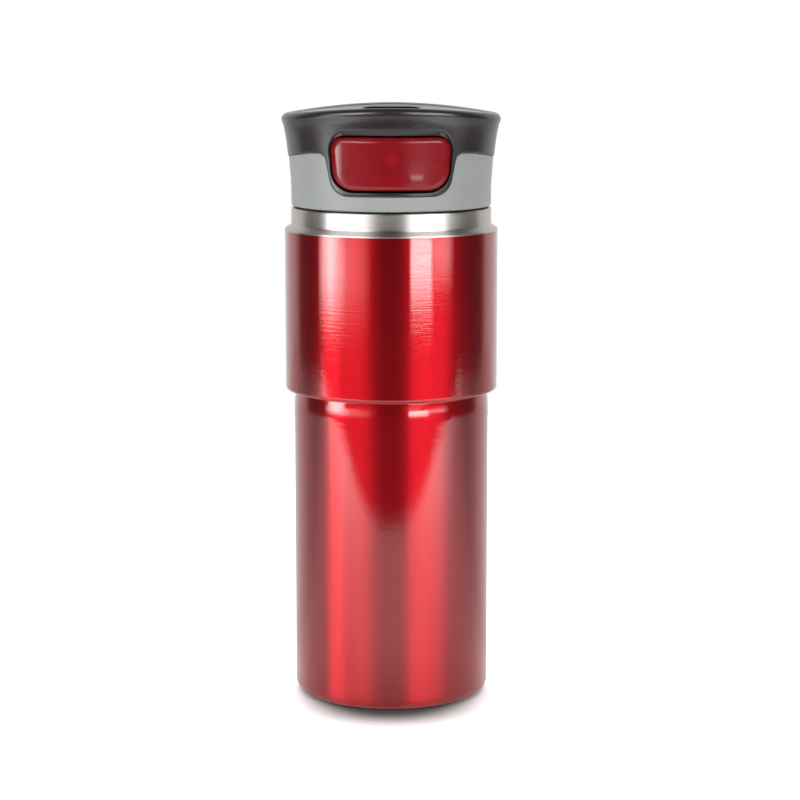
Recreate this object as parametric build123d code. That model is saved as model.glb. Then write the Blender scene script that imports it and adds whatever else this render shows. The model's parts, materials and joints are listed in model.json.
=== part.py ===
"""Insulated travel mug: a double-walled steel cup with a screw lid whose front button opens the spout.

Millimetres. The origin is the centre of the base, +Z is up, the button faces -Y and the spout is at +Y.
"""
import os
from math import atan, cos, degrees, radians, sin, tan

from build123d import *

# ---------------------------------------------------------------- driving dimensions: cup
body_r = 34.5            # lower body, sized for a car cup holder
sleeve_r = 37.5          # wider upper body
step_z = 109.6           # underside of the upper body
paint_top = 166.1        # the paint stops here and bare steel goes on
waist_z = 105.2          # the lower body bends gently inwards here, up to the step
waist_in = 0.53
waist_round = 55.0
shoulder_low = 166.6     # the shoulder slopes up from here to the neck
shoulder_high = 168.1
neck_r = 35.2
mouth_z = 174.0          # top of the cup's lip
wall = 0.6               # outer steel
neck_wall = 0.5
liner_wall = 0.5
liner_r = 31.6           # inside of the liner
liner_floor = 7.0
base_corner = 4.0
base_rim_r = 29.4        # inner edge of the rolled rim that the mug stands on
recess_r = 28.6          # recess in the base, inside that rim
base_plate_z = 2.6       # underside of the plate that closes the vacuum space
dimple_depth = 0.6       # the plate rises round its evacuation hole
hole_r = 1.2
bead_r = 2.8
getter_x = 15.0
getter_r = 4.0
getter_height = 1.6
cover_z = 1.3
cover_groove = 0.4
mouth_r = 34.1           # inside of the mouth, root of the cup's thread
lip_under = 173.2        # the liner's rim is welded under the rolled lip
cone_slope = 1.1         # rise over run of the ledge that the lid gasket seals on
cone_top = 161.8

# ---------------------------------------------------------------- driving dimensions: thread
lead = 8.0
starts = 2
cup_crest_r = 32.6
lid_root_r = 32.2
lid_crest_r = 33.7
rib_base = 2.4
rib_crest = 1.2
rib_bury = 0.1
rib_low = 164.2          # centre of the lowest turn
lid_rib_turns = 0.85
cup_rib_turns = 0.70

# ---------------------------------------------------------------- driving dimensions: lid
lid_bottom = 174.6
rim_r = 38.4
saddle = [(-40.4, 210.37), (-23.0, 208.12), (0, 207.0), (23.0, 207.76), (40.4, 210.12)]
rim_round = 2.4
flare = [(179.0, 35.1), (187.5, 35.5), (196.0, 36.3), (202.0, 37.3), (204.5, 38.1)]
shell_proud = 0.3        # the dark shell stands this far out of the grey band
shell_wall = 1.8
band_side = 191.9        # line between shell and band, at the sides
band_back = 194.4
band_front = 194.3
band_bore = 33.2
band_round = 0.8         # lower edge of the band
deck_r = 33.2
deck_gap = 0.4
deck_under = 204.4
dish_low = 206.2
dish_sphere = 150.0
slot_y = 23.5
slot_length = 20.0
slot_width = 7.5
vent_y = 7.0
vent_r = 1.25
frame_r = 33.0
frame_bore = 31.6
frame_z = 178.5
pocket_back = -21.0      # front face of the wall behind the button
pocket_wall = 1.5
skirt_bore = 28.6
skirt_low = 157.4
gasket_neck_r = 30.4
gasket_low = 158.6
gasket_high = 161.4
frame_floor = 1.2
bridge_half = 4.5        # the bridge that the shutter's spring stands on
bridge_deep = 2.5
post_r = 1.6             # posts that centre the springs

# ---------------------------------------------------------------- driving dimensions: button
button_top = 199.8
button_bottom = 181.75
button_half_top = 20.9
button_half_bottom = 19.2
button_round_top = 4.3
button_round_bottom = 7.0
button_face_r = 36.3
button_wall = 1.8
button_depth = -26.5
button_gap = 0.6
bezel_wall = 1.0
button_travel = 4.0
boss_z = 192.7
boss_r = 3.7
boss_bore = 1.95
boss_end = -29.5
face_round = 1.4
face_wall = 2.2
plate_front = -32.2      # the trigger's plate behind the button
plate_back = -30.2
plate_half = 11.0
plate_low = 184.5
plate_high = 197.8
prong_reach = 3.0        # the prongs end this far behind the arm's tail

# ---------------------------------------------------------------- driving dimensions: shutter
pivot_y = -3.0
pivot_z = 196.5
pin_r = 1.5
running = 0.05
hub_r = 3.2
hub_half = 10.8
ear_in = 11.5
ear_out = 13.5
tail = 13.0              # pivot to the end of the arm's tail
tail_drop = 1.0
tail_r = 1.6
tilt = 11.0              # degrees that a full press opens the shutter
cam_gap = 0.15
prong_in = 7.2
prong_out = 9.8
prong_low = 189.5
seal_under = 200.0
seal_gap = 0.1
spring_y = 10.0
spring_low = 187.0
spring_high = 197.2
spring_r = 2.7           # both springs, to the middle of the wire
wire_r = 0.35
arm_half = 6.0
lever = 2.4              # half height of the arm's tails at the hub


# ---------------------------------------------------------------- helpers
def spin(points, radii=None):
    """Turn a closed outline of (radius, height) points about Z, with each corner rounded."""
    corners = radii or [0.0] * len(points)
    outline = FilletPolyline(*points, radius=corners, close=True)
    return revolve(make_face(Plane.XZ * outline), Axis.Z)


def tube(outer, inner, low, high):
    return Pos(0, 0, low) * extrude(Circle(outer) - Circle(inner), high - low)


def disc_of(radius, low, high):
    return Pos(0, 0, low) * extrude(Circle(radius), high - low)


def block(x_low, x_high, y_low, y_high, z_low, z_high):
    size = (x_high - x_low, y_high - y_low, z_high - z_low)
    middle = ((x_low + x_high) / 2, (y_low + y_high) / 2, (z_low + z_high) / 2)
    return Pos(*middle) * Box(*size)


def along_y(sketch, y_low, y_high):
    """Extrude a front-view sketch (x, z) from y_low to y_high."""
    return extrude(Plane.XZ.offset(-y_low) * sketch, y_low - y_high)


def along_x(points, x_low, x_high, radii=None):
    """Extrude a side-view outline of (y, z) points from x_low to x_high."""
    corners = radii or [0.0] * len(points)
    outline = FilletPolyline(*points, radius=corners, close=True)
    return extrude(Plane.YZ.offset(x_low) * make_face(outline), x_high - x_low)


def rod_x(radius, y, z, x_low, x_high):
    return extrude(Plane.YZ.offset(x_low) * Pos(y, z) * Circle(radius), x_high - x_low)


def slot_prism(length, width, y, low, high):
    return Pos(0, y, low) * extrude(SlotOverall(length, width), high - low)


def coil(mean_r, wire_r, length, turns):
    """A coil spring that stands on z = 0."""
    path = Helix(pitch=(length - 2 * wire_r) / turns, height=length - 2 * wire_r, radius=mean_r)
    start = Plane(origin=path @ 0, x_dir=(1, 0, 0), z_dir=path % 0)
    return Pos(0, 0, wire_r) * sweep(start * Circle(wire_r), path=path, is_frenet=True)


def thread_rib(root_r, crest_r, turns, low, start_angle):
    """One helical thread rib, its root buried a little in the wall that carries it."""
    side = 1 if crest_r > root_r else -1
    path = Helix(pitch=lead, height=lead * turns, radius=root_r)
    start = Plane(origin=path @ 0, x_dir=(1, 0, 0), z_dir=path % 0)
    tall = abs(crest_r - root_r)
    section = Polygon(
        (-side * rib_bury, -rib_base / 2),
        (-side * rib_bury, rib_base / 2),
        (side * tall, rib_crest / 2),
        (side * tall, -rib_crest / 2),
        align=None,
    )
    rib = sweep(start * section, path=path, is_frenet=True)
    return Pos(0, 0, low) * Rot(0, 0, start_angle) * rib


def thread_ribs(root_r, crest_r, turns, phase):
    """The ribs of every start. A phase of half a pitch puts them between the mating ribs."""
    pitch_angle = 360.0 / starts
    ribs = [
        thread_rib(root_r, crest_r, turns, rib_low, index * pitch_angle + phase)
        for index in range(starts)
    ]
    return ribs


# ---------------------------------------------------------------- cup
def outer_shell():
    waist_r = body_r - waist_in
    points = [
        (base_rim_r, 0), (body_r, 0), (body_r, waist_z), (waist_r, step_z), (sleeve_r, step_z),
        (sleeve_r, paint_top), (sleeve_r - wall, paint_top), (sleeve_r - wall, step_z + wall),
        (waist_r - wall, step_z + wall), (body_r - wall, waist_z), (body_r - wall, wall), (base_rim_r, wall),
    ]
    radii = [0, base_corner, waist_round, 0.8, 1.2, 0, 0, 0.6, 1.4, waist_round, base_corner - wall, 0]
    return spin(points, radii)


def neck_shell():
    inside = neck_r - neck_wall
    under = 0.4              # height of the shoulder's wall above its inner face
    points = [
        (sleeve_r, paint_top), (sleeve_r, shoulder_low), (neck_r, shoulder_high), (neck_r, mouth_z),
        (mouth_r, mouth_z), (mouth_r, lip_under), (inside, lip_under), (inside, shoulder_high - under),
        (sleeve_r - wall, shoulder_low - under), (sleeve_r - wall, paint_top),
    ]
    return spin(points, [0, 0.45, 0.8, 0.45, 0.4, 0, 0, 1.2, 0, 0])


def inner_liner():
    cone_low = cone_top - cone_slope * (mouth_r - liner_r)
    shift = liner_wall * 0.5
    points = [
        (0, liner_floor), (liner_r, liner_floor), (liner_r, cone_low), (mouth_r, cone_top),
        (mouth_r, lip_under), (mouth_r + liner_wall, lip_under),
        (mouth_r + liner_wall, cone_top - shift), (liner_r + liner_wall, cone_low - shift),
        (liner_r + liner_wall, liner_floor - liner_wall), (0, liner_floor - liner_wall),
    ]
    shell = spin(points, [0, 8.0, 1.0, 1.0, 0, 0, 1.4, 1.4, 8.0 + liner_wall, 0])
    for rib in thread_ribs(mouth_r, cup_crest_r, cup_rib_turns, -360.0 / starts / 2):
        shell = shell + rib
    return shell


def vacuum_base():
    low, high = base_plate_z, base_plate_z + wall
    rise = dimple_depth
    points = [
        (recess_r + 1.8, wall), (recess_r, wall), (recess_r, low), (6.0, low), (5.0, low + rise),
        (hole_r, low + rise), (hole_r, high + rise), (5.4, high + rise), (6.4, high),
        (recess_r + wall, high), (recess_r + wall, 2 * wall), (recess_r + 1.8, 2 * wall),
    ]
    return spin(points)


def sealing_bead():
    """A bead of solder glass: a drop in the dimple that passes up through the hole."""
    seat = base_plate_z + dimple_depth
    points = [
        (0, seat - 0.9), (bead_r - 1.0, seat - 0.7), (bead_r, seat), (hole_r, seat),
        (hole_r, seat + wall + 0.3), (0, seat + wall + 0.8),
    ]
    return spin(points, [0, 0.6, 0, 0, 0, 0])


def getter_pellet():
    return Pos(getter_x, 0, base_plate_z + wall) * extrude(Circle(getter_r), getter_height)


def base_cover():
    """The cosmetic disc under the base, with a shallow pressed ring."""
    low, ring = cover_z, cover_z - cover_groove
    edge = recess_r - 0.2
    points = [
        (0, low), (18.0, low), (19.0, ring), (21.0, ring), (22.0, low), (edge, low),
        (edge, low + wall), (0, low + wall),
    ]
    return spin(points, [0, 0.3, 0.3, 0.3, 0.3, 0.2, 0, 0])


# ---------------------------------------------------------------- lid: outside
def lid_solid(extra):
    """The lid's outside as one solid: flared sides and a saddle-shaped top, still without its round edge."""
    side = Spline(*[(radius + extra, height) for height, radius in flare])
    first = side @ 0
    last = side @ 1
    closing = Polyline(
        (last.X, last.Y), (last.X, 220), (0, 220), (0, lid_bottom), (first.X, lid_bottom), (first.X, first.Y),
    )
    body = revolve(make_face(Plane.XZ * (side + closing)), Axis.Z)
    return body - above_saddle()


def above_saddle():
    """Everything above the lid's top surface, which is level across and rises to the front and back."""
    front, back = saddle[0], saddle[-1]
    closing = Polyline(back, (back[0], 230), (front[0], 230), front)
    section = make_face(Spline(*saddle) + closing)
    return extrude(Plane.YZ.offset(front[0]) * section, back[0] - front[0])


def bore_of_shell():
    """The hollow inside the shell, which follows the flare."""
    side = Spline(*[(radius + shell_proud - shell_wall, height) for height, radius in flare])
    first = side @ 0
    last = side @ 1
    closing = Polyline(
        (last.X, last.Y), (last.X, 207), (0, 207), (0, 170), (first.X, 170), (first.X, first.Y),
    )
    hollow = revolve(make_face(Plane.XZ * (side + closing)), Axis.Z)
    return hollow & disc_of(60, 160, deck_under - 2)


def shield(grow):
    """The button's outline in front view, grown by a margin."""
    points = [
        (-button_half_top - grow, button_top + grow),
        (button_half_top + grow, button_top + grow),
        (button_half_bottom + grow, button_bottom - grow),
        (-button_half_bottom - grow, button_bottom - grow),
    ]
    radii = [button_round_top + grow, button_round_top + grow]
    radii += [button_round_bottom + grow, button_round_bottom + grow]
    return make_face(FilletPolyline(*points, radius=radii, close=True))


def shell_region():
    """The part of space that the dark shell takes: above a wavy line, with a tongue round the button."""
    side = [(rim_r + 8, 222), (rim_r + 8, band_side), (36.0, band_side), (29.5, band_front - 0.4)]
    side += [(22.7, band_front), (19.9, 179.8)]
    left = [(-x, z) for x, z in reversed(side)]
    radii = [0, 0, 12.0, 12.0, 2.8, 6.5]
    outline = FilletPolyline(*side, *left, radius=radii + radii[::-1], close=True)
    front = along_y(make_face(outline), -60, 0)
    wave = ThreePointArc((-36.0, band_side), (0, band_back), (36.0, band_side))
    reach = rim_r + 8
    rest = Polyline((36.0, band_side), (reach, band_side), (reach, 222), (-reach, 222), (-reach, band_side),
                    (-36.0, band_side))
    back = along_y(make_face(wave + rest), 0, 60)
    return front + back


def lid_shell():
    body = lid_solid(shell_proud)
    top = body.faces().filter_by(GeomType.EXTRUSION)[0]
    body = fillet(top.edges(), rim_round)
    shell = body & shell_region()
    shell = shell - bore_of_shell()
    shell = shell - disc_of(frame_r, 160, 230)
    shell = shell - disc_of(deck_r + deck_gap, deck_under, 230)
    pocket = along_y(shield(button_gap + bezel_wall), -37.5, pocket_back)
    pocket = pocket & (Pos(0, 0, 150) * Cylinder(35.2, 120))
    shell = shell + pocket
    return shell - along_y(shield(button_gap), -60, pocket_back + 5)


def grip_band():
    body = lid_solid(0)
    band = body - shell_region()
    band = band - disc_of(band_bore, 160, 230)
    lower = band.edges().filter_by(GeomType.CIRCLE).group_by(Axis.Z)[0].sort_by(SortBy.RADIUS)[-1]
    return fillet(lower, band_round)


def top_deck():
    disc = disc_of(deck_r, deck_under, 220) - above_saddle()
    disc = disc - Pos(0, 0, dish_low + dish_sphere) * Sphere(dish_sphere)
    disc = disc - slot_prism(slot_length, slot_width, slot_y, 200, 220)
    return disc - Pos(0, vent_y, 200) * extrude(Circle(vent_r), 20)


# ---------------------------------------------------------------- lid: inside
def threaded_skirt():
    points = [
        (skirt_bore, skirt_low), (gasket_neck_r + 0.2, skirt_low), (gasket_neck_r + 0.2, gasket_low - 0.2),
        (gasket_neck_r, gasket_low - 0.1), (gasket_neck_r, gasket_high + 0.1), (lid_root_r, gasket_high + 0.1),
        (lid_root_r, lid_bottom + 0.3), (band_bore, lid_bottom + 0.3), (band_bore, frame_z),
        (32.6, frame_z), (32.6, frame_z - 0.8), (31.9, frame_z - 0.8), (31.9, frame_z), (skirt_bore, frame_z),
    ]
    skirt = spin(points)
    for rib in thread_ribs(lid_root_r, lid_crest_r, lid_rib_turns, 0):
        skirt = skirt + rib
    return skirt


def frame_seal():
    return tube(32.55, 31.95, frame_z - 0.8, frame_z)


def lid_gasket():
    points = [
        (gasket_neck_r + running, gasket_high), (32.2, gasket_high), (32.2, 160.05), (31.25, 159.0),
        (31.0, gasket_low), (gasket_neck_r + running, gasket_low),
    ]
    return spin(points)


def valve_frame():
    wall_back = pocket_back + pocket_wall
    ring = tube(frame_r, frame_bore, frame_z, deck_under)
    ring = ring - block(-50, 50, -50, wall_back, 150, 230)
    front = block(-40, 40, pocket_back, wall_back, frame_z, deck_under)
    floor = block(-40, 40, -50, wall_back, frame_z, frame_z + frame_floor)
    bridge = block(-40, 40, spring_y - bridge_half, spring_y + bridge_half, spring_low - bridge_deep, spring_low)
    inside = disc_of(frame_r - 0.3, 150, 230)
    frame = ring + (front & inside) + (floor & inside) + (bridge & inside)
    for side in (-1, 1):
        near, far = sorted((side * ear_in, side * ear_out))
        ear = along_x(
            [(wall_back - 0.2, 202.0), (pivot_y + 4, 202.0), (pivot_y + 4, 192.0), (wall_back - 0.2, 188.0)],
            near, far, [0, 4.0, 4.0, 0],
        )
        frame = frame + ear - rod_x(pin_r, pivot_y, pivot_z, near - 1, far + 1)
        low, high = sorted((side * (prong_in - 0.3), side * (prong_out + 0.3)))
        frame = frame - block(low, high, pocket_back - 1, wall_back + 1, prong_low - 0.4, cam_top() + 0.4)
    frame = frame + Pos(0, spring_y, spring_low) * extrude(Circle(post_r), 3.5)
    return frame + along_y(Pos(0, boss_z) * Circle(post_r), pocket_back - 3.5, pocket_back)


def pivot_pin():
    return rod_x(pin_r, pivot_y, pivot_z, -ear_out - 0.6, ear_out + 0.6)


# ---------------------------------------------------------------- button
def cam_angle():
    """Slope of the prongs, so that a full press lifts the tail by a full tilt."""
    turn = radians(tilt)
    lift = tail_drop + tail * sin(turn) - tail_drop * cos(turn)
    return atan(lift / button_travel)


def cam_point():
    """Where the slope passes under the tail's round end."""
    reach = tail_r + cam_gap
    y = pivot_y - tail - reach * sin(cam_angle())
    z = pivot_z - tail_drop - reach * cos(cam_angle())
    return y, z


def cam_top():
    """Height of the prongs where the slope ends, a little past a full press."""
    return cam_point()[1] + (button_travel + 1.2) * tan(cam_angle())


def push_button():
    cap = along_y(shield(0), -50, button_depth) & (Pos(0, 0, 190) * Cylinder(button_face_r, 60))
    face = cap.faces().filter_by(GeomType.CYLINDER).sort_by(SortBy.AREA)[-1]
    cap = fillet(face.edges(), face_round)
    hollow = along_y(shield(-button_wall), -50, button_depth + 5)
    hollow = hollow & (Pos(0, 0, 190) * Cylinder(button_face_r - face_wall, 60))
    boss = along_y(Pos(0, boss_z) * Circle(boss_r), -35, boss_end)
    hole = along_y(Pos(0, boss_z) * Circle(boss_bore), -33, boss_end + 5)
    return cap - hollow + boss - hole


def trigger_slide():
    front, back = plate_front, plate_back
    plate = block(-plate_half, plate_half, front, back, plate_low, plate_high)
    plate = fillet(plate.edges().filter_by(Axis.Y), 2.0)
    y, z = cam_point()
    tip = pivot_y - tail + prong_reach
    slope = tan(cam_angle())
    points = [
        (back - 0.2, prong_low), (tip, prong_low), (tip, z - (tip - y) * slope),
        (y - (cam_top() - z) / slope, cam_top()), (back - 0.2, cam_top()),
    ]
    for side in (-1, 1):
        near, far = sorted((side * prong_in, side * prong_out))
        plate = plate + along_x(points, near, far)
    return plate - along_y(Pos(0, boss_z) * Circle(boss_r + 0.02), front - 1, back + 1)


def button_spring():
    length = pocket_back - boss_end
    return Pos(0, boss_end, boss_z) * Rot(-90, 0, 0) * coil(spring_r, wire_r, length, 5)


# ---------------------------------------------------------------- shutter
def shutter_arm():
    arm = rod_x(hub_r, pivot_y, pivot_z, -hub_half, hub_half)
    arm = arm + block(-arm_half, arm_half, pivot_y, slot_y, spring_high, pivot_z + hub_r)
    arm = arm + slot_prism(slot_length + 2, slot_width + 2, slot_y, spring_high, seal_under)
    arm = arm + Pos(0, spring_y, spring_high - 1.6) * extrude(Circle(post_r), 2.0)
    for side in (-1, 1):
        near, far = sorted((side * prong_in, side * prong_out))
        end_y = pivot_y - tail
        end_z = pivot_z - tail_drop
        finger = along_x(
            [
                (pivot_y, pivot_z - lever), (end_y, end_z - tail_r), (end_y, end_z + tail_r),
                (pivot_y, pivot_z + lever),
            ],
            near, far,
        )
        arm = arm + finger + rod_x(tail_r, end_y, end_z, near, far)
    return arm - rod_x(pin_r + running, pivot_y, pivot_z, -20, 20)


def spout_seal():
    flange = slot_prism(slot_length + 2.5, slot_width + 2.5, slot_y, seal_under, deck_under - seal_gap)
    plug = slot_prism(slot_length - 2.0, slot_width - 2.0, slot_y - 0.2, deck_under - 1, deck_under + 1.4)
    return flange + plug


def vent_seal():
    base = pivot_z + hub_r
    return Pos(0, vent_y, base) * extrude(Circle(2.6), deck_under - seal_gap - base)


def shutter_spring():
    return Pos(0, spring_y, spring_low) * coil(spring_r, wire_r, spring_high - spring_low, 6)


# ---------------------------------------------------------------- write every piece
pieces = [
    outer_shell, neck_shell, inner_liner, vacuum_base, sealing_bead, getter_pellet, base_cover,
    lid_gasket,
    lid_shell, grip_band, top_deck, threaded_skirt, frame_seal, valve_frame, pivot_pin,
    button_spring, shutter_spring,
    push_button, trigger_slide,
    shutter_arm, spout_seal, vent_seal,
]

os.makedirs("parts", exist_ok=True)
for piece in pieces:
    export_step(piece(), f"parts/{piece.__name__}.step")
print("cam slope", round(degrees(cam_angle()), 2), "degrees,", len(pieces), "pieces")
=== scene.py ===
import json
import math

import bmesh
import bpy
import numpy as np
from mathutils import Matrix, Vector


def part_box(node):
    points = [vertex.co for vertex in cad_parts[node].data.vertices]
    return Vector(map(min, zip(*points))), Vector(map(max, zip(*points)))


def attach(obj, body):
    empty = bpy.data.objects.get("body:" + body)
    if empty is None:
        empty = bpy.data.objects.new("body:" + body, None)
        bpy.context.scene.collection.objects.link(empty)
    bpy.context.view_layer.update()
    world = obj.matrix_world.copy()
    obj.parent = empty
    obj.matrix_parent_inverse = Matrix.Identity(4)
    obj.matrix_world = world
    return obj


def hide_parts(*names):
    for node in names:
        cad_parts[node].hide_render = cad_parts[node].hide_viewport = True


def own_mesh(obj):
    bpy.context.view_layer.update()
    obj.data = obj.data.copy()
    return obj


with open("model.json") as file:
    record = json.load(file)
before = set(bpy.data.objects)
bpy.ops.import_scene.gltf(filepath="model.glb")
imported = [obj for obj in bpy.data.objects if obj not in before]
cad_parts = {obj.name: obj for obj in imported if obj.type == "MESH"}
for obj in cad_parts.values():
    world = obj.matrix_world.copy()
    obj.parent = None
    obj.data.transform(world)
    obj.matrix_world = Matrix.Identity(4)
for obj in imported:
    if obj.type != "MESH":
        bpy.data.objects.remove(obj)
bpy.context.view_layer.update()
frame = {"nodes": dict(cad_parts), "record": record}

NODES = frame["nodes"]
MOUNTS = {mount["name"]: mount for mount in frame["record"]["mounts"]}
MM = 0.001


def low(node):
    """Lowest corner of a CAD node, in millimetres."""
    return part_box(node)[0] / MM


def high(node):
    """Highest corner of a CAD node, in millimetres."""
    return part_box(node)[1] / MM


# ------------------------------------------------------------------ sizes, in millimetres
# What the frame holds is read from its boxes and mounts. The rest follows the CAD model's driving
# dimensions, with finer rounds on the edges that show.

# cup
BODY_R = MOUNTS["cup_holder"]["dims"]["r_mm"]
SLEEVE_R = high("outer_shell").x
PAINT_TOP = high("outer_shell").z
MOUTH_TOP = high("neck_shell").z
STEP_Z = 109.6            # underside of the wider upper body
STEP_IN_ROUND = 0.8
STEP_OUT_ROUND = 1.2
WALL = 0.6
BASE_CORNER = 4.0
RIM_IN = 29.4             # inner edge of the rolled rim that the mug stands on
WAIST_Z = 105.2           # the lower body bends gently inwards from here up to the step
WAIST_IN = 0.53
WAIST_ROUND = 55.0
SHOULDER_LOW = 166.6      # the shoulder slopes up from here to the neck
SHOULDER_HIGH = 168.1
SHOULDER_UNDER = 0.4      # its inner face lies this far below its outer one
NECK_R = 35.2
NECK_WALL = 0.5
NECK_ROUND = 0.45
MOUTH_R = 34.1
LIP_UNDER = high("inner_liner").z
LATHE_SEGMENTS = 288      # round a turned piece

# lid
RIM_R = high("lid_shell").x
BAND_BOTTOM = low("grip_band").z
BAND_BORE = 33.2
BAND_ROUND = 0.8          # the band's lower edge
BAND_EDGE = 0.2           # the band's edge along the shell
BAND_CREVICE = 0.1        # the gap between the band and the shell
FLARE = [(179.0, 35.1), (187.5, 35.5), (196.0, 36.3), (202.0, 37.3), (204.5, 38.1)]    # height, radius
PROUD = 0.3               # the dark shell stands this far out of the grey band
SHELL_WALL = 1.8
SHELL_CEILING = 202.4
SHELL_EDGE = 0.5          # the shell's edge along the band
POCKET_EDGE = 0.45        # the bezel's edge round the button
POCKET_WALL = 1.0
POCKET_BACK = -21.0
BEZEL_DEPTH = 1.0         # the pocket's own walls start this far inside the shell's face
RIM_SIDE = 207.0          # the rim's height at the sides
RIM_FRONT_RISE = 3.05
RIM_BACK_RISE = 2.75
RIM_FRONT_POWER = 1.95
RIM_BACK_POWER = 2.5
RIM_EDGE = 204.5          # the wall ends here and the rim's round begins
LIFT_FROM = 195.0         # the wall follows the saddle more and more above this height
TOP_DROP = 0.15           # the panel and the groove's edge lie this far under the saddle
BAND_SIDE = 191.9         # the line between shell and band, at the sides
BAND_BACK = 194.4
# The line's right half in front, from the side down round the button: x, height, round.
TONGUE = [(36.0, 191.9, 12.0), (29.5, 193.9, 12.0), (22.7, 194.3, 2.8), (19.9, 179.8, 6.5)]
DECK_R = high("top_deck").x
DECK_UNDER = low("top_deck").z
DECK_EDGE = 0.35
GROOVE_R = DECK_R + 0.4
DISH_DEPTH = 0.8
DISH_R = 20.0
DISH_Y = 2.0
SLOT_Y = 23.5
SLOT_LENGTH = 20.0
SLOT_WIDTH = 7.5
SLOT_EDGE = 1.1
VENT_Y = 7.0
VENT_R = 1.25
VENT_EDGE = 0.5

# button
BUTTON_TOP = high("push_button").z
BUTTON_BOTTOM = low("push_button").z
BUTTON_HALF_TOP = 20.9
BUTTON_HALF_BOTTOM = 19.2
BUTTON_ROUND_TOP = 4.3
BUTTON_ROUND_BOTTOM = 7.0
BUTTON_FACE_R = -low("push_button").y
BUTTON_BACK = high("push_button").y
BUTTON_GAP = 0.6          # between the button and its pocket
BUTTON_EDGE = 2.0
BUTTON_WALL = 1.8
BUTTON_FACE_WALL = 2.2
BOSS_Z = 192.7            # the boss and the spring behind the button are on this height

# springs
COIL_R = 2.7
WIRE_R = 0.35
BUTTON_COIL_TURNS = 5.5
SHUTTER_COIL_TURNS = 6.5


# ------------------------------------------------------------------ mesh helpers
MERGE = 0.0005            # points closer than this, in millimetres, become one


def new_object(name, verts, faces, body, sharp=40.0):
    """A mesh object from points in millimetres, smooth except at edges sharper than an angle."""
    mesh = bpy.data.meshes.new(name)
    mesh.from_pydata([tuple(c * MM for c in v) for v in verts], [], [list(f) for f in faces])
    work = bmesh.new()
    work.from_mesh(mesh)
    bmesh.ops.remove_doubles(work, verts=work.verts, dist=MERGE * MM)
    bmesh.ops.dissolve_degenerate(work, dist=1e-8, edges=work.edges)
    bmesh.ops.recalc_face_normals(work, faces=work.faces)
    work.to_mesh(mesh)
    work.free()
    mesh.shade_smooth()
    mesh.set_sharp_from_angle(angle=math.radians(sharp))
    obj = bpy.data.objects.new(name, mesh)
    bpy.context.scene.collection.objects.link(obj)
    flatten = obj.modifiers.new("weighted normals", "WEIGHTED_NORMAL")
    flatten.keep_sharp = True
    flatten.weight = 70
    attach(obj, body)
    return obj


def corner_arc(before, corner, after, radius, steps):
    """Points of the round that replaces a corner of an outline."""
    p, a, b = (np.array(q[:2], float) for q in (corner, before, after))
    u, v = (a - p) / np.linalg.norm(a - p), (b - p) / np.linalg.norm(b - p)
    half = math.acos(max(-1.0, min(1.0, float(u @ v)))) / 2
    straight = half > math.pi / 2 - 1e-4
    if radius <= 0 or straight:
        return [tuple(p)]
    reach = radius / math.tan(half)
    centre = p + (u + v) / np.linalg.norm(u + v) * radius / math.sin(half)
    start, end = p + u * reach - centre, p + v * reach - centre
    first = math.atan2(start[1], start[0])
    turn = math.atan2(end[1], end[0]) - first
    turn = (turn + math.pi) % (2 * math.pi) - math.pi
    angles = [first + turn * i / steps for i in range(steps + 1)]
    return [(centre[0] + radius * math.cos(t), centre[1] + radius * math.sin(t)) for t in angles]


def rounded(points, closed=True, steps=8):
    """An outline of (a, b, radius) corners, with its corners rounded."""
    out = []
    count = len(points)
    for i, corner in enumerate(points):
        radius = corner[2] if len(corner) > 2 else 0
        if not closed and i in (0, count - 1):
            radius = 0
        out += corner_arc(points[i - 1], corner, points[(i + 1) % count], radius, steps)
    return out


def with_supports(outline, gap=0.12, longest=1.0):
    """Adds a point near each end of the runs longer than longest, so that the rounds shade well."""
    out = []
    for i, a in enumerate(outline):
        b = outline[(i + 1) % len(outline)]
        out.append(a)
        length = math.dist(a, b)
        if length > longest:
            for t in (gap / length, 1 - gap / length):
                out.append((a[0] + (b[0] - a[0]) * t, a[1] + (b[1] - a[1]) * t))
    return out


def lathe(name, corners, body):
    """Turns a closed outline of (radius, height, corner radius) about Z."""
    outline = with_supports(rounded(corners))
    count = len(outline)
    verts = []
    for j in range(LATHE_SEGMENTS):
        angle = 2 * math.pi * j / LATHE_SEGMENTS
        verts += [(r * math.cos(angle), r * math.sin(angle), z) for r, z in outline]
    faces = []
    for j in range(LATHE_SEGMENTS):
        for i in range(count):
            k, n = (j + 1) % LATHE_SEGMENTS, (i + 1) % count
            faces.append((j * count + i, k * count + i, k * count + n, j * count + n))
    return new_object(name, verts, faces, body)


# ------------------------------------------------------------------ sheets cut along curved lines
def cut_faces(points, faces, field, level):
    """Splits faces along the line where one of the points' fields equals a level."""
    made = {}
    out = []
    for face in faces:
        values = [points[i][field] - level for i in face]
        if min(values) >= 0 or max(values) <= 0:
            out.append(face)
            continue
        above, below = [], []
        for n, here in enumerate(face):
            there = face[(n + 1) % len(face)]
            a, b = values[n], values[(n + 1) % len(face)]
            if a >= 0:
                above.append(here)
            if a <= 0:
                below.append(here)
            if a * b < 0:
                key = (min(here, there), max(here, there))
                if key not in made:
                    p, q = points[key[0]], points[key[1]]
                    t = (level - p[field]) / (q[field] - p[field])
                    made[key] = len(points)
                    points.append(tuple(x + (y - x) * t for x, y in zip(p, q)))
                above.append(made[key])
                below.append(made[key])
        out += [part for part in (above, below) if len(part) > 2]
    return out


def mean_field(points, face, field):
    """Mean of a face's points in one field."""
    return sum(points[i][field] for i in face) / len(face)


def keep_faces(points, faces, field, level):
    """The faces whose field is above a level. Cut along the level first."""
    return [face for face in faces if mean_field(points, face, field) > level]


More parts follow.
